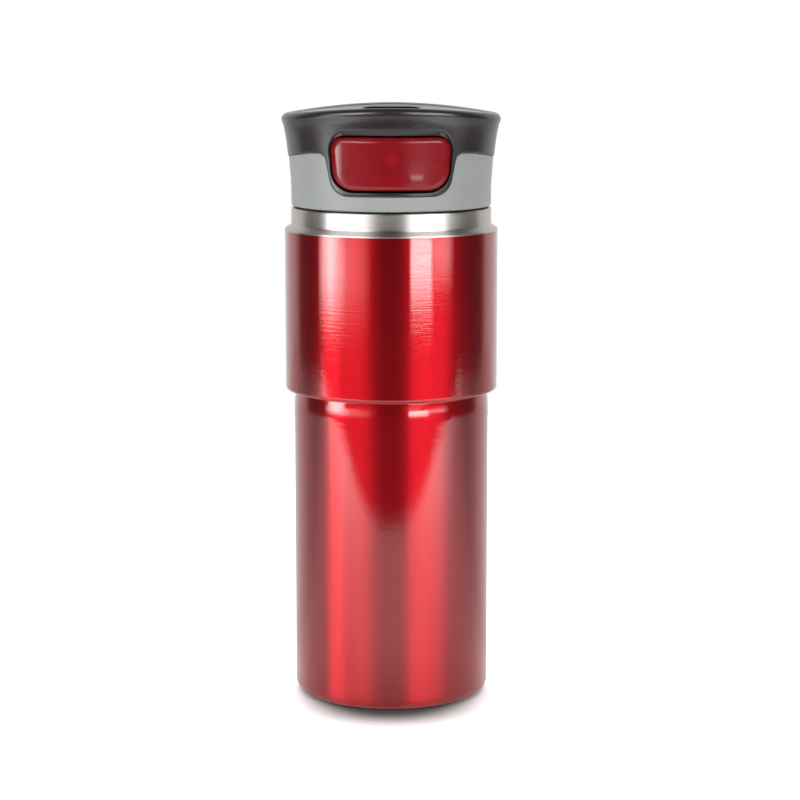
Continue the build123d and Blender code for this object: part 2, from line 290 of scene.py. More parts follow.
def thicken(points, faces, outer, inner):
    """Closes a sheet into a solid. outer and inner place a point on each side of it."""
    used = sorted({i for f in faces for i in f})
    index = {old: new for new, old in enumerate(used)}
    count = len(used)
    verts = [outer(points[i]) for i in used] + [inner(points[i]) for i in used]
    solid = []
    edges = []
    for face in faces:
        ids = [index[i] for i in face]
        solid += [ids, [i + count for i in reversed(ids)]]
        edges += zip(ids, ids[1:] + ids[:1])
    edges = dict.fromkeys(edges)
    solid += [(b, a, a + count, b + count) for a, b in edges if (b, a) not in edges]
    return verts, solid


def inside(outline, u, v):
    """True where a point lies inside a closed outline."""
    hit = np.zeros(u.shape, bool)
    for n, (x1, y1) in enumerate(outline):
        x2, y2 = outline[(n + 1) % len(outline)]
        if y1 == y2:
            continue
        crosses = (y1 > v) != (y2 > v)
        hit ^= crosses & (u < (x2 - x1) * (v - y1) / (y2 - y1) + x1)
    return hit


def distance(outline, u, v, closed=True):
    """Distance of each point to an outline."""
    best = np.full(u.shape, 1e9)
    for n in range(len(outline) if closed else len(outline) - 1):
        a = np.array(outline[n])
        d = np.array(outline[(n + 1) % len(outline)]) - a
        t = np.clip(((u - a[0]) * d[0] + (v - a[1]) * d[1]) / max(d @ d, 1e-12), 0, 1)
        best = np.minimum(best, np.hypot(u - a[0] - t * d[0], v - a[1] - t * d[1]))
    return best


def edge_drop(d, radius):
    """How far a rounded edge has fallen, d inside from where it ends."""
    e = radius - min(max(d, 0.0), radius)
    return radius - math.sqrt(max(radius * radius - e * e, 0.0))


def edge_levels(radius, steps=5):
    """Distances inside an edge at which its round turns by equal angles."""
    return [radius * (1 - math.cos(math.pi / 2 * i / steps)) for i in range(steps + 1)]


def smooth(t):
    """Eases from 0 to 1 as t does."""
    t = max(0.0, min(1.0, t))
    return t * t * (3 - 2 * t)


# ------------------------------------------------------------------ lid outlines
OUTLINE_STEPS = 10        # on each round of an outline in front view
BACK_STEPS = 40           # along the line between shell and band, from a side to the back
PAST_BACK = 2.1           # that line runs on to here, in quarter turns from the front
FRONT_ARC = 46            # degrees each way from the front where the mesh columns are close together
FRONT_COLUMNS = 140
BACK_COLUMNS = 136
SKY = 260.0               # a height well above the lid
FROM_LINE = 3             # a ring sheet's point holds its distance to the line here
FROM_POCKET = 4           # and to the pocket's outline here


def flare_r(z):
    """Radius of the grey band against height, on a smooth curve through the flare's points."""
    if z <= FLARE[0][0]:
        return FLARE[0][1]
    count = len(FLARE)
    slopes = []
    for i in range(count):
        a, b = FLARE[max(i - 1, 0)], FLARE[min(i + 1, count - 1)]
        slopes.append((b[1] - a[1]) / (b[0] - a[0]) if i else 0.0)
    for i in range(count - 1):
        (z0, r0), (z1, r1) = FLARE[i], FLARE[i + 1]
        if z <= z1 or i == count - 2:
            h = z1 - z0
            t = min((z - z0) / h, 1.0)
            a = 2 * t ** 3 - 3 * t ** 2 + 1
            b = t ** 3 - 2 * t ** 2 + t
            c = -2 * t ** 3 + 3 * t ** 2
            d = t ** 3 - t ** 2
            return a * r0 + b * h * slopes[i] + c * r1 + d * h * slopes[i + 1]


def saddle(y):
    """Height of the lid's top surface, level across and rising to the front and back."""
    share = abs(y) / RIM_R
    if y < 0:
        return RIM_SIDE + RIM_FRONT_RISE * share ** RIM_FRONT_POWER
    return RIM_SIDE + RIM_BACK_RISE * share ** RIM_BACK_POWER


def shield(grow):
    """The button's outline in front view, grown by a margin."""
    top, bottom = BUTTON_TOP + grow, BUTTON_BOTTOM - grow
    half_top, half_bottom = BUTTON_HALF_TOP + grow, BUTTON_HALF_BOTTOM + grow
    round_top, round_bottom = BUTTON_ROUND_TOP + grow, BUTTON_ROUND_BOTTOM + grow
    corners = [
        (-half_top, top, round_top), (half_top, top, round_top),
        (half_bottom, bottom, round_bottom), (-half_bottom, bottom, round_bottom),
    ]
    return rounded(corners, steps=OUTLINE_STEPS)


def unwrap(x, z):
    """A point of the front view on the unrolled side of the lid, as arc length at BODY_R and height."""
    return (math.asin(max(-1.0, min(1.0, x / (flare_r(z) + PROUD)))) * BODY_R, z)


def shell_line():
    """The line between the dark shell and the grey band, unrolled, from back to front to back."""
    left = [(-x, z, r) for x, z, r in TONGUE]
    front = rounded(left + TONGUE[::-1], closed=False, steps=OUTLINE_STEPS)
    front = [unwrap(x, z) for x, z in front]
    quarter = math.pi / 2 * BODY_R
    back = []
    for i in range(1, BACK_STEPS):
        share = i / BACK_STEPS
        back.append((quarter * (1 + share), BAND_SIDE + (BAND_BACK - BAND_SIDE) * smooth(share)))
    back.append((PAST_BACK * quarter, BAND_BACK))
    left_back = [(-u, z) for u, z in reversed(back)]
    return left_back + front + back


# ------------------------------------------------------------------ lid pieces
def lid_columns():
    """Angles of the lid's mesh columns from the front, closer together round the button."""
    fine = np.linspace(-FRONT_ARC, FRONT_ARC, FRONT_COLUMNS)
    coarse = np.linspace(FRONT_ARC, 360 - FRONT_ARC, BACK_COLUMNS)[1:-1]
    return [math.radians(a) for a in np.concatenate([fine, coarse])]


def ring_sheet(rows):
    """A closed ring of faces. A point holds cos, sin, row value, and its distances to the shell's line
    and the button's pocket, which are positive where the shell is."""
    line = shell_line()
    pocket = [unwrap(x, z) for x, z in shield(BUTTON_GAP)]
    angles = lid_columns()
    across = np.array([math.atan2(math.sin(a), math.cos(a)) * BODY_R for a in angles])
    grid_u, grid_v = np.meshgrid(across, np.array(rows))
    region = line + [(line[-1][0], SKY), (line[0][0], SKY)]
    sign = np.where(inside(region, grid_u, grid_v), 1.0, -1.0)
    from_line = sign * distance(line, grid_u, grid_v, closed=False)
    hole = np.where(inside(pocket, grid_u, grid_v), -1.0, 1.0)
    from_pocket = hole * distance(pocket, grid_u, grid_v)
    points = []
    for j, row in enumerate(rows):
        for i, a in enumerate(angles):
            points.append((math.cos(a), math.sin(a), row, from_line[j, i], from_pocket[j, i]))
    faces = []
    count = len(angles)
    for j in range(len(rows) - 1):
        for i in range(count):
            k = (i + 1) % count
            faces.append([j * count + i, j * count + k, (j + 1) * count + k, (j + 1) * count + i])
    return points, faces


def around(p, radius, z):
    """Places a ring sheet's point at a radius and height. Angle 0 is the front."""
    length = math.hypot(p[0], p[1])
    return (radius * p[1] / length, -radius * p[0] / length, z)


# The rim's section from the wall over the top into the groove: radius, height over the saddle, round.
RIM_PATH = rounded(
    [
        (RIM_R, -2.5, 0), (RIM_R, 0.0, 2.3), (34.1, -0.1, 0.0),
        (GROOVE_R, -TOP_DROP, 0.35), (GROOVE_R, -2.6, 0),
    ],
    closed=False, steps=9,
)
RIM_ROWS = RIM_EDGE + 20.0    # row values from here on count the points of RIM_PATH
SHELL_LOW = 179.0             # the shell's sheet starts here, just under its tongue
FINE_TOP = 197.0              # its rows are close together up to here
FINE_ROWS = 46
UPPER_ROWS = 13


def make_lid_shell():
    """The dark shell: a ring sheet cut along the band's line and the pocket, with a rounded rim."""
    wall_rows = list(np.linspace(SHELL_LOW, FINE_TOP, FINE_ROWS))
    wall_rows += list(np.linspace(FINE_TOP, RIM_EDGE, UPPER_ROWS))[1:]
    rim_rows = [RIM_ROWS + i for i in range(len(RIM_PATH))][1:]
    points, faces = ring_sheet(wall_rows + rim_rows)
    for field, edge in ((FROM_LINE, SHELL_EDGE), (FROM_POCKET, POCKET_EDGE)):
        for level in edge_levels(edge):
            faces = cut_faces(points, faces, field, level)
    faces = keep_faces(points, faces, FROM_LINE, 0)
    faces = keep_faces(points, faces, FROM_POCKET, 0)

    def outer(p):
        row, from_line, from_pocket = p[2:]
        if row > RIM_EDGE:
            radius, drop = RIM_PATH[int(round(row - RIM_ROWS))]
            y = around(p, radius, 0)[1]
            return around(p, radius, saddle(y) + drop)
        lift = smooth((row - LIFT_FROM) / (RIM_EDGE - LIFT_FROM))
        radius = flare_r(row) + PROUD - edge_drop(from_line, SHELL_EDGE)
        rise = (saddle(around(p, RIM_R, 0)[1]) - RIM_SIDE) * lift
        x, y, z = around(p, radius, row + rise)
        return (x, y + edge_drop(from_pocket, POCKET_EDGE), z)

    def inner(p):
        row = p[2]
        start = flare_r(SHELL_CEILING) + PROUD - SHELL_WALL
        if row > RIM_EDGE:
            share = (row - RIM_ROWS) / (len(RIM_PATH) - 1)
            return around(p, start + (GROOVE_R - start) * share, SHELL_CEILING)
        z = min(row, SHELL_CEILING)
        return around(p, flare_r(z) + PROUD - SHELL_WALL, z)

    verts, solid = thicken(points, faces, outer, inner)
    tube_verts, tube_faces = pocket_tube(len(verts))
    shell = new_object("lid_shell_skin", verts + tube_verts, solid + tube_faces, "lid", sharp=50)
    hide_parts("lid_shell")
    return shell


def pocket_tube(first):
    """The walls of the hole that the button slides in, as a closed ring behind the bezel."""
    near, far = shield(BUTTON_GAP), shield(BUTTON_GAP + POCKET_WALL)
    rings = []
    for outline, front in ((near, True), (far, True), (far, False), (near, False)):
        ring = []
        for x, z in outline:
            face = -math.sqrt((flare_r(z) + PROUD - BEZEL_DEPTH) ** 2 - x * x)
            ring.append((x, face if front else POCKET_BACK, z))
        rings.append(ring)
    count = len(near)
    verts = [v for ring in rings for v in ring]
    faces = []
    for r in range(len(rings)):
        here, there = first + r * count, first + (r + 1) % len(rings) * count
        for i in range(count):
            k = (i + 1) % count
            faces.append([here + i, here + k, there + k, there + i])
    return verts, faces


FOOT_TOP = BAND_BOTTOM + 2.0
BAND_FOOT = rounded(
    [(BAND_BORE, BAND_BOTTOM, 0), (FLARE[0][1], BAND_BOTTOM, BAND_ROUND), (FLARE[0][1], FOOT_TOP, 0)],
    closed=False, steps=6,
)
FOOT_ROWS = 100.0             # row values from here on count the points of BAND_FOOT
BAND_LOW = 178.6              # the band's rows are close together between these heights
BAND_HIGH = 195.0
BAND_ROWS = 42


def make_grip_band():
    """The grey band: a ring sheet cut along its line with the shell, with a rounded lower edge."""
    foot_rows = [FOOT_ROWS + i for i in range(len(BAND_FOOT))]
    wall_rows = [FOOT_TOP + 0.5] + list(np.linspace(BAND_LOW, BAND_HIGH, BAND_ROWS))
    points, faces = ring_sheet(foot_rows + wall_rows)
    for level in edge_levels(BAND_EDGE):
        faces = cut_faces(points, faces, FROM_LINE, -BAND_CREVICE - level)
    faces = [face for face in faces if mean_field(points, face, FROM_LINE) < -BAND_CREVICE]

    def outer(p):
        row, from_line = p[2], p[FROM_LINE]
        if row < BAND_BOTTOM:
            radius, z = BAND_FOOT[int(round(row - FOOT_ROWS))]
            return around(p, radius, z)
        return around(p, flare_r(row) - edge_drop(-BAND_CREVICE - from_line, BAND_EDGE), row)

    def inner(p):
        row = p[2]
        z = BAND_FOOT[int(round(row - FOOT_ROWS))][1] if row < BAND_BOTTOM else row
        return around(p, BAND_BORE, z)

    verts, solid = thicken(points, faces, outer, inner)
    band = new_object("grip_band_skin", verts, solid, "lid", sharp=50)
    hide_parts("grip_band")
    return band


def flat_sheet(xs, ys, fields):
    """A grid of faces in a plane. Each point holds its two coordinates and then its distance fields."""
    grid_x, grid_y = np.meshgrid(xs, ys)
    layers = [field(grid_x, grid_y) for field in fields]
    points = []
    for j in range(len(ys)):
        for i in range(len(xs)):
            points.append((grid_x[j, i], grid_y[j, i], *(layer[j, i] for layer in layers)))
    count = len(xs)
    faces = []
    for j in range(len(ys) - 1):
        for i in range(count - 1):
            a = j * count + i
            faces.append([a, a + 1, a + count + 1, a + count])
    return points, faces


FIRST_FIELD = 2               # a flat sheet's distance fields start here
GRID_MARGIN = 0.3             # the button's sheet reaches this far past its outline before it is cut
BUTTON_COLUMNS = 72
BUTTON_ROWS = 34
HOLLOW_SIDE = [BUTTON_WALL + 0.02, BUTTON_WALL + 0.1]    # its hollow's side stands between these
HOLLOW_FROM = BUTTON_WALL + 0.03                         # and its hollow's floor starts past this


def make_push_button():
    """The cap: a shield with a rounded edge on the lid's curve, hollow from behind."""
    outline = shield(0.0)

    def field(x, z):
        return np.where(inside(outline, x, z), 1.0, -1.0) * distance(outline, x, z)

    reach = BUTTON_HALF_TOP + GRID_MARGIN
    xs = np.linspace(-reach, reach, BUTTON_COLUMNS)
    zs = np.linspace(BUTTON_BOTTOM - GRID_MARGIN, BUTTON_TOP + GRID_MARGIN, BUTTON_ROWS)
    points, faces = flat_sheet(xs, zs, [field])
    for level in edge_levels(BUTTON_EDGE, steps=8) + HOLLOW_SIDE:
        faces = cut_faces(points, faces, FIRST_FIELD, level)
    faces = keep_faces(points, faces, FIRST_FIELD, 0)

    def face_y(x):
        return -math.sqrt(BUTTON_FACE_R ** 2 - x * x)

    def outer(p):
        x, z, from_edge = p
        return (x, face_y(x) + edge_drop(from_edge, BUTTON_EDGE), z)

    def inner(p):
        x, z, from_edge = p
        return (x, BUTTON_BACK if from_edge <= HOLLOW_FROM else face_y(x) + BUTTON_FACE_WALL, z)

    verts, solid = thicken(points, faces, outer, inner)
    button = new_object("push_button_cap", verts, solid, "button", sharp=50)
    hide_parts("push_button")
    return button


DECK_MARGIN = 0.5
DECK_COLUMNS = 84


def make_top_deck():
    """The top panel: a disc that follows the saddle, with a shallow dish, the slot and the vent."""
    def from_rim(x, y):
        return DECK_R - np.hypot(x, y)

    def from_slot(x, y):
        beyond = np.maximum(np.abs(x) - (SLOT_LENGTH - SLOT_WIDTH) / 2, 0)
        return np.hypot(beyond, y - SLOT_Y) - SLOT_WIDTH / 2

    def from_vent(x, y):
        return np.hypot(x, y - VENT_Y) - VENT_R

    xs = np.linspace(-DECK_R - DECK_MARGIN, DECK_R + DECK_MARGIN, DECK_COLUMNS)
    points, faces = flat_sheet(xs, xs, [from_rim, from_slot, from_vent])
    edges = (DECK_EDGE, SLOT_EDGE, VENT_EDGE)
    for field, edge in enumerate(edges, start=FIRST_FIELD):
        for level in edge_levels(edge):
            faces = cut_faces(points, faces, field, level)
        faces = keep_faces(points, faces, field, 0)

    def outer(p):
        dish = DISH_DEPTH * (1 - smooth(math.hypot(p[0], p[1] - DISH_Y) / DISH_R))
        drop = sum(edge_drop(d, edge) for d, edge in zip(p[FIRST_FIELD:], edges))
        return (p[0], p[1], saddle(p[1]) - TOP_DROP - dish - drop)

    def inner(p):
        return (p[0], p[1], DECK_UNDER)

    verts, solid = thicken(points, faces, outer, inner)
    deck = new_object("top_deck_panel", verts, solid, "lid", sharp=50)
    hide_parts("top_deck")
    return deck


# ------------------------------------------------------------------ cup pieces
def make_outer_shell():
    """The painted wall, in one pressing from the base rim over the step to the end of the paint."""
    waist_r = BODY_R - WAIST_IN
    corners = [
        (RIM_IN, 0, 0), (BODY_R, 0, BASE_CORNER), (BODY_R, WAIST_Z, WAIST_ROUND),
        (waist_r, STEP_Z, STEP_IN_ROUND), (SLEEVE_R, STEP_Z, STEP_OUT_ROUND),
        (SLEEVE_R, PAINT_TOP, 0), (SLEEVE_R - WALL, PAINT_TOP, 0),
        (SLEEVE_R - WALL, STEP_Z + WALL, STEP_OUT_ROUND - WALL),
        (waist_r - WALL, STEP_Z + WALL, STEP_IN_ROUND + WALL), (BODY_R - WALL, WAIST_Z, WAIST_ROUND),
        (BODY_R - WALL, WALL, BASE_CORNER - WALL), (RIM_IN, WALL, 0),
    ]
    shell = lathe("outer_shell_skin", corners, "cup")
    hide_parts("outer_shell")
    return shell


def make_neck_shell():
    """The bare steel shoulder, neck and rolled lip."""
    inner_r = NECK_R - NECK_WALL
    corners = [
        (SLEEVE_R, PAINT_TOP, 0), (SLEEVE_R, SHOULDER_LOW, NECK_ROUND), (NECK_R, SHOULDER_HIGH, 0.8),
        (NECK_R, MOUTH_TOP, NECK_ROUND), (MOUTH_R, MOUTH_TOP, 0.4), (MOUTH_R, LIP_UNDER, 0),
        (inner_r, LIP_UNDER, 0), (inner_r, SHOULDER_HIGH - SHOULDER_UNDER, 1.2),
        (SLEEVE_R - WALL, SHOULDER_LOW - SHOULDER_UNDER, 0), (SLEEVE_R - WALL, PAINT_TOP, 0),
    ]
    neck = lathe("neck_shell_skin", corners, "cup")
    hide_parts("neck_shell")
    return neck


# ------------------------------------------------------------------ springs
STEPS_PER_TURN = 36
WIRE_SIDES = 12
CLOSED_ENDS = 0.35            # the share of the pitch that eases out at the coil's ends


def make_coil(name, start, end, turns, node):
    """A coil between two points, wound closer at its ends."""
    start, end = Vector(start), Vector(end)
    along = (end - start).normalized()
    side = along.orthogonal().normalized()
    other = along.cross(side)
    length = (end - start).length - 2 * WIRE_R
    steps = int(turns * STEPS_PER_TURN)
    verts, faces = [], []
    for i in range(steps + 1):
        share = i / steps
        angle = 2 * math.pi * turns * share
        rise = smooth(share) * CLOSED_ENDS + share * (1 - CLOSED_ENDS)
        radial = side * math.cos(angle) + other * math.sin(angle)
        centre = start + along * (WIRE_R + length * rise) + radial * COIL_R
        for k in range(WIRE_SIDES):
            t = 2 * math.pi * k / WIRE_SIDES
            verts.append(tuple(centre + (radial * math.cos(t) + along * math.sin(t)) * WIRE_R))
    for i in range(steps):
        for k in range(WIRE_SIDES):
            n = (k + 1) % WIRE_SIDES
            a, b = i * WIRE_SIDES, (i + 1) * WIRE_SIDES
            faces.append((a + k, a + n, b + n, b + k))
    faces.append(list(range(WIRE_SIDES))[::-1])
    faces.append([steps * WIRE_SIDES + k for k in range(WIRE_SIDES)])
    spring = new_object(name, verts, faces, "lid", sharp=60)
    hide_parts(node)
    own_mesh(spring)
    return spring


def make_springs():
    """The button's coil lies along Y. The shutter's coil stands on the bridge under the arm."""
    front, back = low("button_spring").y, high("button_spring").y
    first = make_coil(
        "button_coil", (0, front, BOSS_Z), (0, back, BOSS_Z), BUTTON_COIL_TURNS,
        "button_spring",
    )
    bottom, top = low("shutter_spring").z, high("shutter_spring").z
    spring_y = (low("shutter_spring").y + high("shutter_spring").y) / 2
    second = make_coil(
        "shutter_coil", (0, spring_y, top), (0, spring_y, bottom), SHUTTER_COIL_TURNS,
        "shutter_spring",
    )
    return [first, second]


# ------------------------------------------------------------------ materials
def new_material(name, colour, roughness, **sockets):
    """A Principled material. Sockets are named in lower case with underscores."""
    mat = bpy.data.materials.new(name)
    mat.use_nodes = True
    shader = mat.node_tree.nodes["Principled BSDF"]
    shader.inputs["Base Color"].default_value = (*colour, 1)
    shader.inputs["Roughness"].default_value = roughness
    for key, value in sockets.items():
        shader.inputs[key.replace("_", " ").title().replace("Ior", "IOR")].default_value = value
    return mat, mat.node_tree.nodes, mat.node_tree.links, shader


def coordinates(nodes, links, space="Object"):
    """The X, Y and Z of the point that is shaded, in the piece's own space or another."""
    coordinate = nodes.new("ShaderNodeTexCoord")
    apart = nodes.new("ShaderNodeSeparateXYZ")
    links.new(coordinate.outputs[space], apart.inputs["Vector"])
    return apart.outputs["X"], apart.outputs["Y"], apart.outputs["Z"]


def maths(nodes, links, operation, *values):
    """A Math node. Each value is a number or another node's output."""
    node = nodes.new("ShaderNodeMath")
    node.operation = operation
    for socket, value in zip(node.inputs, values):
        if isinstance(value, bpy.types.NodeSocket):
            links.new(value, socket)
        else:
            socket.default_value = value
    return node.outputs["Value"]


def flat_length(nodes, links, x, y):
    """Length of a flat vector."""
    flat = nodes.new("ShaderNodeCombineXYZ")
    links.new(x, flat.inputs["X"])
    links.new(y, flat.inputs["Y"])
    reach = nodes.new("ShaderNodeVectorMath")
    reach.operation = "LENGTH"
    links.new(flat.outputs["Vector"], reach.inputs[0])
    return reach.outputs["Value"]


def colour_ramp(nodes, links, value, stops, interpolation="LINEAR"):
    """A colour for a value from 0 to 1. stops lists (place, colour)."""
    node = nodes.new("ShaderNodeValToRGB")
    node.color_ramp.interpolation = interpolation
    while len(node.color_ramp.elements) < len(stops):
        node.color_ramp.elements.new(1.0)
    for element, (place, colour) in zip(node.color_ramp.elements, stops):
        element.position = place
        element.color = (*colour, 1)
    links.new(value, node.inputs["Fac"])
    return node.outputs["Color"]


def noise_at(nodes, links, stretch, detail=3.0):
    """A noise texture in the piece's own space. stretch is its cells a metre along X, Y and Z."""
    coordinate = nodes.new("ShaderNodeTexCoord")
    mapping = nodes.new("ShaderNodeMapping")
    mapping.inputs["Scale"].default_value = stretch
    noise = nodes.new("ShaderNodeTexNoise")
    noise.inputs["Scale"].default_value = 1.0
    noise.inputs["Detail"].default_value = detail
    noise.inputs["Roughness"].default_value = 0.6
    links.new(coordinate.outputs["Object"], mapping.inputs["Vector"])
    links.new(mapping.outputs["Vector"], noise.inputs["Vector"])
    return noise.outputs["Fac"]


def ranged(nodes, links, value, low_out, high_out, low_in=0.3, high_in=0.7):
    """Maps a value to a range. Most of a noise texture lies between 0.3 and 0.7."""
    node = nodes.new("ShaderNodeMapRange")
    node.inputs["From Min"].default_value = low_in
    node.inputs["From Max"].default_value = high_in
    node.inputs["To Min"].default_value = low_out
    node.inputs["To Max"].default_value = high_out
    links.new(value, node.inputs["Value"])
    return node.outputs["Result"]


def bump(nodes, links, shader, height, strength, depth, socket="Normal"):
    """Raises the surface by a texture. depth is in metres."""
    node = nodes.new("ShaderNodeBump")
    node.inputs["Strength"].default_value = strength
    node.inputs["Distance"].default_value = depth
    links.new(height, node.inputs["Height"])
    links.new(node.outputs["Normal"], shader.inputs[socket])


def two_colours(nodes, links, shader, value, first, second):
    """Base colour that varies between two tones with a texture."""
    mix = nodes.new("ShaderNodeMix")
    mix.data_type = "RGBA"
    mix.inputs["A"].default_value = (*first, 1)
    mix.inputs["B"].default_value = (*second, 1)
    links.new(value, mix.inputs["Factor"])
    links.new(mix.outputs["Result"], shader.inputs["Base Color"])


def shades(colour, darker, lighter):
    """Two tones of a colour."""
    return tuple(c * darker for c in colour), tuple(c * lighter for c in colour)


def radial_tangent(nodes, links, shader):
    """Brushing that runs round the mug's axis."""
    tangent = nodes.new("ShaderNodeTangent")
    tangent.direction_type = "RADIAL"
    tangent.axis = "Z"
    links.new(tangent.outputs["Tangent"], shader.inputs["Tangent"])


def red_lacquer():
    """Clear red lacquer over steel brushed round the axis. The coat's fine bump makes the streaks."""
    mat, nodes, links, shader = new_material(
        "red_lacquer", (0.38, 0.005, 0.009), 0.45, metallic=1.0, anisotropic=1.0,
        anisotropic_rotation=0.25, coat_weight=1.0, coat_roughness=0.03, coat_ior=1.5,
    )
    radial_tangent(nodes, links, shader)
    lines = noise_at(nodes, links, (9, 9, 1400))
    links.new(ranged(nodes, links, lines, 0.34, 0.39), shader.inputs["Roughness"])
    two_colours(nodes, links, shader, lines, (0.36, 0.005, 0.010), (0.40, 0.007, 0.012))
    bump(nodes, links, shader, lines, 0.1, 0.000002)
    streaks = noise_at(nodes, links, (60, 60, 1500), detail=4.0)
    bump(nodes, links, shader, streaks, 0.6, 0.000022, socket="Coat Normal")
    return mat


def brushed_steel():
    """Bare steel brushed round the axis."""
    colour = (0.60, 0.565, 0.54)
    mat, nodes, links, shader = new_material(
        "brushed_steel", colour, 0.4, metallic=1.0, anisotropic=1.0, anisotropic_rotation=0.25,
    )
    radial_tangent(nodes, links, shader)
    lines = noise_at(nodes, links, (14, 14, 2600))
    links.new(ranged(nodes, links, lines, 0.34, 0.42), shader.inputs["Roughness"])
    two_colours(nodes, links, shader, lines, *shades(colour, 0.92, 1.06))
    bump(nodes, links, shader, lines, 0.15, 0.000003)
    return mat


def smoke_plastic(name, rough):
    """Dark brown-black plastic. rough is its range of roughness."""
    mat, nodes, links, shader = new_material(name, (0.016, 0.013, 0.013), rough[0])
    mottle = noise_at(nodes, links, (260, 260, 260), detail=4.0)
    links.new(ranged(nodes, links, mottle, *rough), shader.inputs["Roughness"])
    fine = noise_at(nodes, links, (4200, 4200, 4200), detail=2.0)
    two_colours(nodes, links, shader, mottle, (0.014, 0.011, 0.011), (0.018, 0.014, 0.014))
    bump(nodes, links, shader, fine, 0.1, 0.000002)
    return mat


def soft_grey():
    """Matte grey soft-touch plastic."""
    mat, nodes, links, shader = new_material(
        "soft_grey", (0.205, 0.215, 0.208), 0.5, specular_ior_level=0.5,
    )
    mottle = noise_at(nodes, links, (180, 180, 180), detail=4.0)
    fine = noise_at(nodes, links, (3800, 3800, 3800), detail=2.0)
    links.new(ranged(nodes, links, mottle, 0.42, 0.54), shader.inputs["Roughness"])
    two_colours(nodes, links, shader, mottle, (0.195, 0.205, 0.198), (0.215, 0.225, 0.218))
    bump(nodes, links, shader, fine, 0.2, 0.00002)
    return mat


BOSS_RING_R = 7.5             # the face's tone changes out to this far from the point in front of the boss
BOSS_REDS = [(0.0, 0.205), (0.22, 0.185), (0.40, 0.135), (0.58, 0.14), (1.0, 0.16)]    # share, red
BUTTON_GREEN = 0.022          # the face's green and blue, as shares of its red
BUTTON_BLUE = 0.045


def red_gloss():
    """Glossy red plastic, darker in a ring round the point in front of the boss and lighter at its
    centre.
    """
    mat, nodes, links, shader = new_material(
        "red_gloss", (0.20, 0.006, 0.010), 0.3, coat_weight=0.4, coat_roughness=0.03,
        specular_ior_level=0.12, subsurface_weight=0.12, subsurface_scale=0.002,
        subsurface_radius=(1.0, 0.1, 0.1),
    )
    x, _, z = coordinates(nodes, links)
    reach = flat_length(nodes, links, x, maths(nodes, links, "SUBTRACT", z, BOSS_Z * MM))
    stops = [(place, (red, red * BUTTON_GREEN, red * BUTTON_BLUE)) for place, red in BOSS_REDS]
    share = ranged(nodes, links, reach, 0, 1, 0, BOSS_RING_R * MM)
    links.new(colour_ramp(nodes, links, share, stops, "EASE"), shader.inputs["Base Color"])
    mottle = noise_at(nodes, links, (300, 300, 300))
    links.new(ranged(nodes, links, mottle, 0.26, 0.34), shader.inputs["Roughness"])
    return mat


def moulded(name, colour, roughness):
    """Plain moulded plastic for the lid's inner pieces."""
    mat, nodes, links, shader = new_material(name, colour, roughness)
    mottle = noise_at(nodes, links, (420, 420, 420), detail=4.0)
    fine = noise_at(nodes, links, (5200, 5200, 5200), detail=2.0)
    uneven = ranged(nodes, links, mottle, roughness - 0.07, roughness + 0.08)
    links.new(uneven, shader.inputs["Roughness"])
    two_colours(nodes, links, shader, mottle, *shades(colour, 0.9, 1.1))
    bump(nodes, links, shader, fine, 0.25, 0.00002)
    return mat


def silicone():
    """Soft, faintly translucent grey rubber."""
    mat, nodes, links, shader = new_material(
        "silicone", (0.26, 0.26, 0.255), 0.45, subsurface_weight=0.3, subsurface_scale=0.001,
    )
    mottle = noise_at(nodes, links, (500, 500, 500))
    links.new(ranged(nodes, links, mottle, 0.4, 0.55), shader.inputs["Roughness"])
    two_colours(nodes, links, shader, mottle, (0.24, 0.24, 0.235), (0.28, 0.28, 0.275))
    return mat


def drawn_wire(name, colour):
    """Plain metal with a slightly uneven polish."""
    mat, nodes, links, shader = new_material(name, colour, 0.25, metallic=1.0)
    streaks = noise_at(nodes, links, (2200, 2200, 2200), detail=2.0)
    links.new(ranged(nodes, links, streaks, 0.18, 0.34), shader.inputs["Roughness"])
    two_colours(nodes, links, shader, streaks, *shades(colour, 0.85, 1.1))
    return mat


def paint(obj, mat):
    """Gives an object one material."""
    if obj.material_slots:
        for slot in obj.material_slots:
            slot.link = "OBJECT"
            slot.material = mat
    else:
        obj.data.materials.append(mat)


# ------------------------------------------------------------------ build the object
shell = make_outer_shell()
neck = make_neck_shell()
lid = make_lid_shell()
band = make_grip_band()
deck = make_top_deck()
button = make_push_button()
springs = make_springs()

steel = brushed_steel()
dark_plastic = moulded("dark_polypropylene", (0.035, 0.035, 0.037), 0.42)
rubber = silicone()
wire = drawn_wire("drawn_wire", (0.55, 0.55, 0.56))

paint(shell, red_lacquer())
paint(neck, steel)
paint(lid, smoke_plastic("smoke_plastic", (0.23, 0.26)))
paint(deck, smoke_plastic("smoke_deck", (0.13, 0.17)))
paint(band, soft_grey())
paint(button, red_gloss())
for spring in springs:
    paint(spring, wire)
for name in ("inner_liner", "vacuum_base", "base_cover"):
    paint(NODES[name], steel)
for name in ("threaded_skirt", "valve_frame", "trigger_slide", "shutter_arm"):
    paint(NODES[name], dark_plastic)
for name in ("lid_gasket", "frame_seal", "spout_seal", "vent_seal"):
    paint(NODES[name], rubber)
paint(NODES["pivot_pin"], wire)
paint(NODES["getter_pellet"], drawn_wire("getter_metal", (0.40, 0.40, 0.42)))
paint(NODES["sealing_bead"], moulded("solder_glass", (0.16, 0.12, 0.08), 0.2))


# ------------------------------------------------------------------ studio, in metres
CARD_REACH = 0.85             # from the mug's axis to the cards

